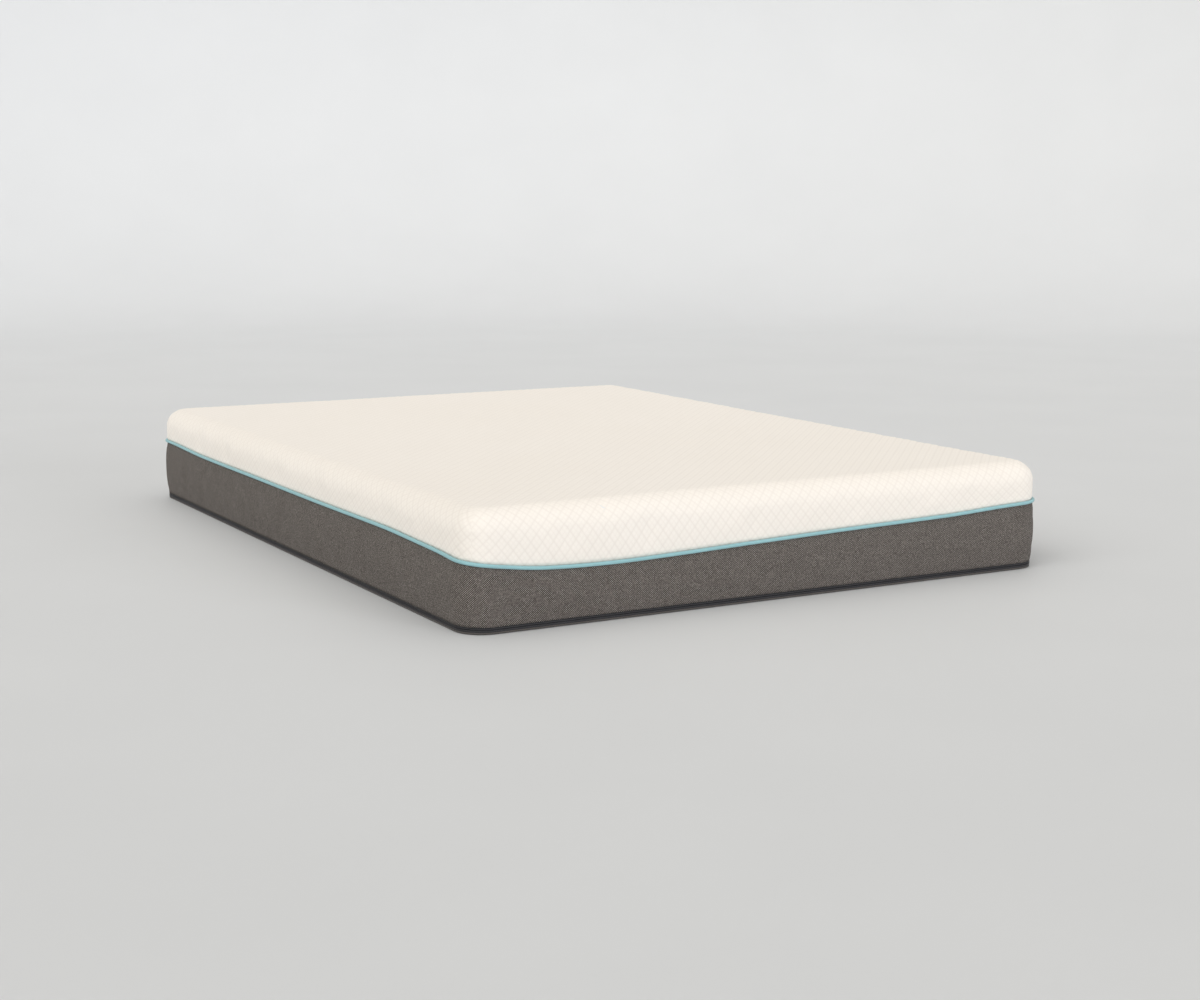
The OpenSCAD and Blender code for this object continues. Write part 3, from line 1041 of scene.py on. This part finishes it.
dot_pitch = 30 * mm
dot_sides = 8
dot_radius = 3.2 * mm
dot_margin = 30 * mm
row_share = 0.866
dot_rings = [(1.0, 0.62 * mm), (0.93, 0.25 * mm), (0.6, 0.03 * mm)]
dot_points, dot_faces = [], []
around = np.arange(dot_sides) * 2 * math.pi / dot_sides
rows_of_dots = int(2 * (half_length - dot_margin) / (dot_pitch * row_share))
for row in range(rows_of_dots):
    y = (row - (rows_of_dots - 1) / 2) * dot_pitch * row_share
    per_row = int(2 * (half_width - dot_margin) / dot_pitch) - row % 2
    for number in range(per_row):
        x = (number - (per_row - 1) / 2) * dot_pitch
        start = len(dot_points)
        for radius, height in dot_rings:
            dot_points += [(x + dot_radius * radius * math.cos(a),
                            y + dot_radius * radius * math.sin(a), height) for a in around]
        for ring in (start, start + dot_sides):
            dot_faces += [[ring + k, ring + (k + 1) % dot_sides,
                           ring + dot_sides + (k + 1) % dot_sides, ring + dot_sides + k]
                          for k in range(dot_sides)]
        dot_faces.append([start + 2 * dot_sides + k for k in reversed(range(dot_sides))])
        dot_faces.append([start + k for k in range(dot_sides)])
dot_cloth = [dot_points[v][:2] for face in dot_faces for v in face]
dots = weld(make_piece("grip_dots", dot_points, dot_faces, dot_cloth, "core", "non_slip_cloth"))

# %% [markdown]
# ## Zip
#
# A coil zip runs right round the bottom edge. Each half is a woven tape with a coil of
# thick nylon thread sewn along its edge. The tapes are plain thin strips, and a third
# strip, the guard, hangs behind the coils so that nothing light shows between them.

# %% Tapes
def strip_runs(x_first, x_last, pitch=None):
    """Distances run from x_first on the head end, right round, to x_last on it."""
    start, end = whole_run - x_first, 2 * whole_run - x_last
    if pitch:
        return np.linspace(start, end, int((end - start) / pitch) + 1)
    inner = np.concatenate([plain_stations, plain_stations + whole_run])
    inner = inner[(inner > start + 1 * mm) & (inner < end - 1 * mm)]
    return np.concatenate([[start], inner, [end]])


slider_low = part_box("slider_body")[0][0]
stop_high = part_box("zipper_stop")[1][0]
tab_low, tab_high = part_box("zipper_end_tab")[0][0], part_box("zipper_end_tab")[1][0]
# How far the lower half ends from the slider, the upper coil runs under its stop and
# the tapes under the patch, and how much tape is bare before the coils begin.
mouth, under_stop, under_patch, bare_tape = 4.5 * mm, 0.8 * mm, 7 * mm, 10 * mm
lower_end = slider_low - mouth
upper_coil_end = stop_high + under_stop
tape_end, tape_start = tab_low + under_patch, tab_high - under_patch
coil_start = tape_start + bare_tape
tape_thickness = 0.7 * mm


def strip_section(run, front, back, low, high, bevel):
    """Insets and heights (n, 8) of a flat strip with its edges taken off."""
    places = np.array([(front, low + bevel), (front, high - bevel), (front + bevel, high),
                       (back - bevel, high), (back, high - bevel), (back, low + bevel),
                       (back - bevel, low), (front + bevel, low)])
    return all_round(run, *places.T)


def tape(name, node, x_first, body):
    run = strip_runs(x_first, tape_start)
    section = strip_section(run, tape_inset, tape_inset + tape_thickness, low_of(node),
                            high_of(node), 0.2 * mm)
    return weld(make_piece(name, *open_strip(run, *section), body, "zip_tape", node))


lower_tape = tape("lower_zip_tape", "zipper_tape_lower", lower_end, "core")
upper_tape = tape("upper_zip_tape", "zipper_tape_upper", tape_end, "cover")

guard_back = sock_inset - 0.45 * mm
guard_front = guard_back - 0.35 * mm
guard_low = low_of("zipper_coil_lower") + 0.4 * mm
guard_high = border_low + 1 * mm
guard_section = strip_section(plain_stations, guard_front, guard_back, guard_low, guard_high,
                              0.1 * mm)
guard = weld(make_piece("zip_guard", *close_ring(plain_stations, *guard_section), "cover",
                        "zip_tape"))

# %% [markdown]
# A spiral curve would make a true coil, but it would need hundreds of thousands of faces.
# So each coil is a strip whose outline swells and shrinks in step with its turns, one
# turn every 4 mm.

# %% Coils
coil_turn = 4 * mm
steps_per_turn = 4


def coil(name, node, x_first, body):
    run = strip_runs(x_first, coil_start, coil_turn / steps_per_turn)
    low, high = low_of(node), high_of(node)
    radius = (high - low) / 2
    angle = np.linspace(0, 2 * math.pi, 8, endpoint=False)
    phase = np.arange(len(run))[:, None] * (2 * math.pi / steps_per_turn)
    size = radius * (0.86 + 0.13 * np.cos(phase - angle))
    inset = coil_inset + radius + size * np.cos(angle)
    height = low + radius + size * np.sin(angle)
    return weld(make_piece(name, *open_strip(run, inset, height), body, "zip_coil", node))


lower_coil = coil("lower_zip_coil", "zipper_coil_lower", lower_end, "core")
upper_coil = coil("upper_zip_coil", "zipper_coil_upper", upper_coil_end, "cover")

# %% [markdown]
# The two ends of the upper tape are hidden under a small folded patch of cloth. It is a
# short thick strip along the same edge, pinched at its stitching.

# %% End patch
patch_rows = 17
patch_run = np.linspace(whole_run - tab_high, whole_run - tab_low, patch_rows)
patch_low, patch_high = low_of("zipper_end_tab"), high_of("zipper_end_tab") - layer_gap
patch_out = tape_inset - 1.2 * mm
patch_turn = np.linspace(0, 2 * math.pi, 20, endpoint=False)
squareness = 0.35
pinch_place, pinch_width, pinch_depth = 0.75, 0.09, 0.35
patch_wide = (tape_inset - patch_out) / 2
patch_tall = (patch_high - patch_low) / 2
from_stitch = (np.abs(np.linspace(-1, 1, patch_rows)) - pinch_place) / pinch_width
pinch = 1 - pinch_depth * np.exp(-from_stitch ** 2)[:, None]


def squared(wave):
    """A round outline's wave, pushed out towards a square's."""
    return np.sign(wave) * np.abs(wave) ** squareness


patch_inset = (patch_out + tape_inset) / 2 + patch_wide * pinch * squared(np.cos(patch_turn))
patch_height = (patch_low + patch_high) / 2 + patch_tall * np.tile(
    squared(np.sin(patch_turn)), (patch_rows, 1))
patch = weld(make_piece("zip_end_patch", *open_strip(patch_run, patch_inset, patch_height),
                        "cover", "non_slip_cloth", "zipper_end_tab"))

# %% [markdown]
# ## Labels
#
# A law label and a care label, both blank, are sewn on the head end. Each is a thin
# rectangle of satin that follows the swell of the border, with a little slack in it. It
# is a front and a back grid joined round the edge, so that it has a real thickness.

# %% Labels
label_rows, label_columns = 25, 21
label_thick = 0.5 * mm
label_stand, label_slack = 0.9 * mm, 0.6 * mm


def label(name, node):
    """A blank label in a node's place, lying on the border."""
    (x_low, _, z_low), (x_high, _, z_high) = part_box(node)
    wide, tall = x_high - x_low, z_high - z_low
    run = np.linspace(whole_run - x_high, whole_run - x_low, label_rows)
    down = np.linspace(0, 1, label_columns)
    heights = z_high - tall * down
    top = seam_at(run)[:, None] - seam_gap
    shares = (top - heights) / (top - border_low)
    inset, height = border_at(run, shares)
    along = np.linspace(0, 1, label_rows)[:, None]
    loose = np.sin(math.pi * along) * smooth(down, 0, 0.3)
    lift = label_stand + (1 + ripple(along * wide, heights, 0.05, 3.0)) * label_slack * loose
    grids = [place_section(run, inset - lift - label_thick, height),
             place_section(run, inset - lift, height)]
    points = np.concatenate([grid.reshape(-1, 3) for grid in grids])
    count = label_rows * label_columns
    front, _, _ = grid_faces(label_rows, label_columns)
    back = front[:, ::-1] + count
    numbers = np.arange(count).reshape(label_rows, label_columns)
    ring = np.concatenate([numbers[:-1, 0], numbers[-1, :-1], numbers[:0:-1, -1], numbers[0, :0:-1]])
    following = np.roll(ring, -1)
    edge = np.stack([ring, ring + count, following + count, following], -1)
    faces = np.concatenate([front, back, edge])
    places = np.stack(np.broadcast_arrays(along * wide, down * tall), -1).reshape(-1, 2)
    places = np.concatenate([places, places])
    piece = weld(make_piece(name, points, faces.tolist(), places[faces].reshape(-1, 2),
                            "cover", "label_cloth", node))
    return piece


law = label("blank_law_label", "law_label")
care = label("blank_care_label", "care_label")

# %% [markdown]
# ## Cap knit
#
# The knit is a warm white. Its grooves get a little painted shade, a finer lattice of the same
# slant divides every pillow, with painted shade along its lines too, and every loop of the
# knit shows as a fine grain. The grooves follow the same lattice as the pillows in the mesh,
# so colour and shape agree.

# %% Cap knit finish
def cap_knit():
    finish = Finish("warm_white_knit")
    along, across = finish.cloth()
    right = along * (math.pi / diamond_wide) + math.pi * straight_x / 2 / diamond_wide
    up = across * (math.pi / diamond_high) + math.pi * straight_y / 2 / diamond_high

    def lattice(scale):
        """0 on the lines of a slanting lattice and 1 in its diamonds' middles."""
        rising, falling = right * scale + up * scale, right * scale - up * scale
        return abs(rising.sine()) * abs(falling.sine())

    pillow = lattice(1) ** 0.6
    groove = (1 - pillow) ** 1.5
    finer = lattice(2) ** 0.5
    loops = finish.wave(along, 1.9 * mm) * finish.wave(across, 1.5 * mm)
    cloudy = finish.noise(2.2, 3.0)
    tone = finish.blend(cloudy, from_srgb(250, 245, 238), from_srgb(246, 240, 231))
    # Painted shade: the grooves are darkened towards a greyer white, where shade would fall.
    shaded = finish.blend(groove * 0.2, tone, from_srgb(216, 207, 200))
    # Painted shade: the finer lattice's lines are darkened the same way.
    shaded = finish.blend((1 - finer) * 0.26, shaded, from_srgb(222, 213, 205))
    colour = finish.blend(loops * 0.06 + 0.06, shaded, from_srgb(234, 227, 218))
    height = pillow + finer * 0.45 + loops * 0.12
    return finish.surface(Base_Color=colour, Roughness=0.78 + groove * 0.15,
                          Sheen_Weight=0.15, Sheen_Roughness=0.5,
                          Normal=finish.bump(height, 0.38 * mm, 0.5))


def wear(piece, material):
    piece.data.materials.clear()
    piece.data.materials.append(material)
    print(material.name, "on", piece.name)


wear(knit_cap, cap_knit())

# %% [markdown]
# ## Spacer mesh
#
# Spacer mesh has two open faces held apart by threads. From nearby it is a dark lattice
# with a light knot on every crossing, in diagonal rows about 3 mm apart. Its yarn is
# spun from lighter and darker fibres, so it also has a speckle of its own.

# %% Border mesh finish
def spacer_mesh():
    finish = Finish("grey_spacer_mesh")
    along, across = finish.cloth()
    knot_pitch = 4.4 * mm
    rising = finish.wave(along + across, knot_pitch) * 0.5 + 0.5
    falling = finish.wave(along - across, knot_pitch) * 0.5 + 0.5
    knot = (rising * falling) ** 0.9
    speckle = (finish.noise(330.0, 2.0, 0.6) - 0.5) * 2.4 + 0.5
    patchy = finish.noise(40.0, 2.0, 0.5)
    light = finish.blend(patchy, from_srgb(226, 216, 208), from_srgb(190, 181, 173))
    light = finish.blend(speckle, light, from_srgb(120, 113, 107))
    colour = finish.blend(knot, from_srgb(46, 43, 41), light)
    strands = finish.wave(along * 2.0 + across, 1.1 * mm)
    height = knot + strands * 0.1
    return finish.surface(Base_Color=colour, Roughness=0.9 - knot * 0.2,
                          Specular_IOR_Level=0.2, Normal=finish.bump(height, 0.6 * mm, 0.5))


wear(border, spacer_mesh())

# %% [markdown]
# ## Woven strips
#
# Piping cloth, zip tape, bottom cloth and labels are all woven. One function makes the
# weave: warp and weft cross as two waves, and a twill shifts one of them step by step.

# %% Woven finishes
def woven(name, light, dark, thread, lean=1.0, roughness=0.75, depth=0.2, sheen=0.1):
    finish = Finish(name)
    along, across = finish.cloth()
    twill = finish.wave(along + across * lean, thread)
    weft = finish.wave(across, thread * 0.7)
    uneven = finish.noise(35.0, 4.0, 0.6)
    tone = finish.blend(uneven, light, dark)
    colour = finish.blend(twill * 0.18 + 0.18, tone, tuple(0.72 * c for c in dark))
    return finish.surface(Base_Color=colour, Roughness=roughness + twill * 0.06,
                          Sheen_Weight=sheen, Sheen_Roughness=0.4,
                          Normal=finish.bump(twill + weft * 0.5, depth * mm, 0.5))


wear(piping, woven("pale_teal_twill", from_srgb(160, 208, 214), from_srgb(144, 192, 199),
                   1.3 * mm, roughness=0.62, sheen=0.25))
tape_cloth = woven("charcoal_tape", from_srgb(66, 66, 69), from_srgb(50, 50, 53), 0.9 * mm)
wear(lower_tape, tape_cloth)
wear(upper_tape, tape_cloth)
wear(guard, tape_cloth)
bottom_weave = woven("dark_bottom_cloth", from_srgb(92, 88, 85), from_srgb(74, 71, 69), 1.4 * mm)
wear(panel, bottom_weave)
wear(patch, bottom_weave)
wear(sock, woven("ribbed_sock_knit", from_srgb(246, 243, 235), from_srgb(236, 232, 222),
                 2.6 * mm, lean=0.0, roughness=0.85))

# %% [markdown]
# Labels are satin, with a line of stitching just inside the edge. The stitches are a
# dashed line worked out from the label's own width and height.

# %% Label finish
def label_satin(name, wide, tall):
    finish = Finish(name)
    along, across = finish.cloth()
    edge_x = wide / 2 - abs(along - wide / 2)
    edge_y = tall / 2 - abs(across - tall / 2)
    edge = edge_x.reckon("MINIMUM", edge_x, edge_y)
    line = edge.reckon("COMPARE", edge, 3.0 * mm, 0.35 * mm)
    dashes = finish.wave(along + across, 3.2 * mm)
    stitch = line * dashes.reckon("GREATER_THAN", dashes, -0.4)
    satin = finish.wave(along, 0.8 * mm)
    uneven = finish.noise(40.0, 3.0)
    cloth = finish.blend(uneven, from_srgb(248, 248, 245), from_srgb(238, 238, 234))
    colour = finish.blend(stitch * 0.7, cloth, from_srgb(176, 178, 180))
    return finish.surface(Base_Color=colour, Roughness=0.42 + satin * 0.06,
                          Normal=finish.bump(stitch * 1.5 + satin * 0.2, 0.25 * mm, 0.6))


for piece, node in ((law, "law_label"), (care, "care_label")):
    low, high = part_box(node)
    wear(piece, label_satin(piece.name + "_satin", high[0] - low[0], high[2] - low[2]))

# %% [markdown]
# ## Foam, fibre, cord and grip
#
# Foam is full of small cells of different sizes, so a Voronoi pattern gives its pores.
# Fibre is tangled threads: noise stretched and bent by another noise. The cord is a
# twist of cotton yarns.

# %% Foam and fibre finishes
def foam(name, light, dark, cell):
    finish = Finish(name)
    pores = finish.node("ShaderNodeTexVoronoi", {"feature": "F1"},
                        {"Vector": finish.where(), "Scale": 1 / cell, "Randomness": 1.0})
    uneven = finish.noise(9.0, 4.0)
    tone = finish.blend(uneven, light, dark)
    colour = finish.blend(pores * 0.5, tone, tuple(0.7 * c for c in dark))
    return finish.surface(Base_Color=colour, Roughness=0.88 + pores * 0.1,
                          Normal=finish.bump(pores, 0.3 * mm, 0.5))


def fibre(name):
    finish = Finish(name)
    tangle = finish.node("ShaderNodeTexNoise", {"noise_dimensions": "3D"},
                         {"Vector": finish.where(), "Scale": 260.0, "Detail": 6.0,
                          "Roughness": 0.7, "Distortion": 2.5})
    clumps = finish.noise(28.0, 3.0)
    tone = finish.blend(clumps, from_srgb(248, 248, 246), from_srgb(230, 230, 228))
    colour = finish.blend(tangle * 0.4, tone, from_srgb(206, 206, 206))
    return finish.surface(Base_Color=colour, Roughness=0.85 + tangle * 0.1,
                          Normal=finish.bump(tangle + clumps, 1.0 * mm, 0.6))


wear(base_slab, foam("cream_base_foam", from_srgb(247, 243, 231), from_srgb(240, 234, 218),
                     1.6 * mm))
wear(middle_slab, foam("pale_blue_foam", from_srgb(230, 240, 245), from_srgb(216, 230, 238),
                       1.3 * mm))
wear(memory_slab, foam("pale_aqua_memory_foam", from_srgb(220, 239, 239), from_srgb(205, 230, 230),
                       0.8 * mm))
polyester = fibre("polyester_fibre")
wear(cap_fill, polyester)
wear(padding, polyester)
wear(cord, woven("cotton_cord", from_srgb(245, 243, 238), from_srgb(232, 229, 221), 2.2 * mm,
                 lean=0.6, roughness=0.85))


def rubber_dot():
    finish = Finish("grip_rubber")
    grain = finish.noise(900.0, 2.0)
    colour = finish.blend(grain, from_srgb(52, 51, 50), from_srgb(38, 37, 36))
    return finish.surface(Base_Color=colour, Roughness=0.5 + grain * 0.2,
                          Normal=finish.bump(grain, 0.08 * mm, 0.4))


wear(dots, rubber_dot())

# %% [markdown]
# ## Zip coil, slider, pull and stop
#
# The coil is satin nylon. The slider, its pull and the stop keep their CAD shapes and get
# lacquered zinc: grey, with fine brushing from the die and paler worn spots.

# %% Zip finishes
def nylon():
    finish = Finish("charcoal_nylon")
    speckle = finish.noise(700.0, 3.0)
    colour = finish.blend(speckle, from_srgb(52, 52, 56), from_srgb(36, 36, 40))
    return finish.surface(Base_Color=colour, Roughness=0.34 + speckle * 0.2,
                          Normal=finish.bump(speckle, 0.05 * mm, 0.3))


def lacquered_zinc():
    finish = Finish("lacquered_zinc")
    long_grain = finish.node("ShaderNodeMapping", None,
                             {"Vector": finish.where(), "Scale": (1.0, 1.0, 9.0)})
    brushed = finish.node("ShaderNodeTexNoise", {"noise_dimensions": "3D"},
                          {"Vector": long_grain, "Scale": 600.0, "Detail": 4.0})
    worn = finish.noise(220.0, 3.0, 0.6) ** 3
    colour = finish.blend(brushed, from_srgb(178, 178, 181), from_srgb(150, 150, 154))
    colour = finish.blend(worn * 2.0, colour, from_srgb(214, 212, 206))
    return finish.surface(Base_Color=colour, Metallic=1.0 - worn * 0.4,
                          Roughness=0.3 + brushed * 0.16,
                          Normal=finish.bump(brushed, 0.04 * mm, 0.4))


coil_nylon = nylon()
wear(lower_coil, coil_nylon)
wear(upper_coil, coil_nylon)
zinc = lacquered_zinc()
for node in ("slider_body", "pull_tab", "zipper_stop"):
    wear(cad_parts[node], zinc)
print("finishes:", sorted(m.name for m in bpy.data.materials if m.users))

# %% [markdown]
# ## Floor and backdrop
#
# The mattress lies on a plain pale floor. A flat floor would end in a hard line, so the
# floor turns up into a wide round backdrop, far enough out for a camera on any side.

# %% Floor
flat_floor, bend, backdrop_height = 7.0, 3.0, 6.0
below = 0.2 * mm


def studio_floor():
    profile = [(3.0, 0.0), (flat_floor, 0.0)]
    profile += [(flat_floor + bend * math.sin(a), bend * (1 - math.cos(a)))
                for a in np.linspace(0, math.pi / 2, 13)[1:]]
    profile.append((flat_floor + bend, backdrop_height))
    turns = 96
    points, faces = [], []
    for k in range(turns):
        a = 2 * math.pi * k / turns
        points += [(r * math.cos(a), r * math.sin(a), z - below) for r, z in profile]
    rings = len(profile)
    points.append((0.0, 0.0, -below))
    for k in range(turns):
        following = (k + 1) % turns
        faces.append([len(points) - 1, k * rings, following * rings])
        faces += [[k * rings + n, k * rings + n + 1, following * rings + n + 1,
                   following * rings + n] for n in range(rings - 1)]
    mesh = bpy.data.meshes.new("studio_floor")
    mesh.from_pydata(points, [], faces)
    mesh.polygons.foreach_set("use_smooth", np.ones(len(mesh.polygons), bool))
    floor = bpy.data.objects.new("studio_floor", mesh)
    bpy.context.scene.collection.objects.link(floor)
    finish = Finish("pale_floor")
    faint = finish.noise(1.5, 2.0)
    colour = finish.blend(faint, from_srgb(217, 219, 221), from_srgb(212, 214, 216))
    floor.data.materials.append(finish.surface(Base_Color=colour, Roughness=0.6 + faint * 0.1))
    floor.visible_shadow = False
    print("floor and backdrop with", len(faces), "faces")


studio_floor()

# %% [markdown]
# ## Light
#
# Plain studio light could come from area lamps, but their light falls off over a big
# object. Suns don't, and a wide angle makes them soft. One stands low in front on the
# right, a wider one high on the left, and the world gives an even pale light.

# %% Lights
def soft_light(name, energy, width, colour, towards):
    sky = bpy.data.lights.new(name, "SUN")
    sky.energy = energy
    sky.angle = math.radians(width)
    sky.color = colour
    window = bpy.data.objects.new(name, sky)
    window.rotation_euler = Vector(towards).to_track_quat("-Z", "Y").to_euler()
    bpy.context.scene.collection.objects.link(window)


soft_light("front_window", 1.05, 22, (0.955, 0.96, 1.0), (-0.35, 0.90, -0.12))
soft_light("left_window", 1.22, 50, (1.0, 0.98, 0.95), (0.72, 0.28, -0.58))
world = bpy.data.worlds.new("pale_room")
bpy.context.scene.world = world
world.use_nodes = True
background = world.node_tree.nodes["Background"].inputs
background["Color"].default_value = (1.0, 0.967, 0.912, 1)
background["Strength"].default_value = 0.71
bpy.context.scene.view_settings.view_transform = "Standard"
print("lights set")

# %% [markdown]
# ## Camera
#
# The camera stands low off the foot end's left corner and looks along the mattress. It
# could be aimed with a Track To constraint, which always keeps it level. This one has a
# slight roll, so its axes are worked out from a heading, a dip and a roll in degrees.

# %% Camera
camera_place = (-2.3825, -4.3997, 0.9019)
heading, dip, roll = (math.radians(v) for v in (29.662, 9.402, 0.223))
forward = Vector((math.sin(heading) * math.cos(dip), math.cos(heading) * math.cos(dip),
                  -math.sin(dip)))
level_right = Vector((math.cos(heading), -math.sin(heading), 0))
level_up = level_right.cross(forward)
right = level_right * math.cos(roll) + level_up * math.sin(roll)
up = level_up * math.cos(roll) - level_right * math.sin(roll)
lens = bpy.data.cameras.new("view")
lens.lens = 57.78
lens.sensor_width = 36.0
lens.sensor_fit = "HORIZONTAL"
lens.clip_start = 0.05
camera = bpy.data.objects.new("view", lens)
turn = Matrix((right, up, -forward)).transposed()
camera.matrix_world = Matrix.Translation(camera_place) @ turn.to_4x4()
bpy.context.scene.collection.objects.link(camera)
bpy.context.scene.camera = camera
print("camera at", [round(v, 3) for v in camera.matrix_world.translation])
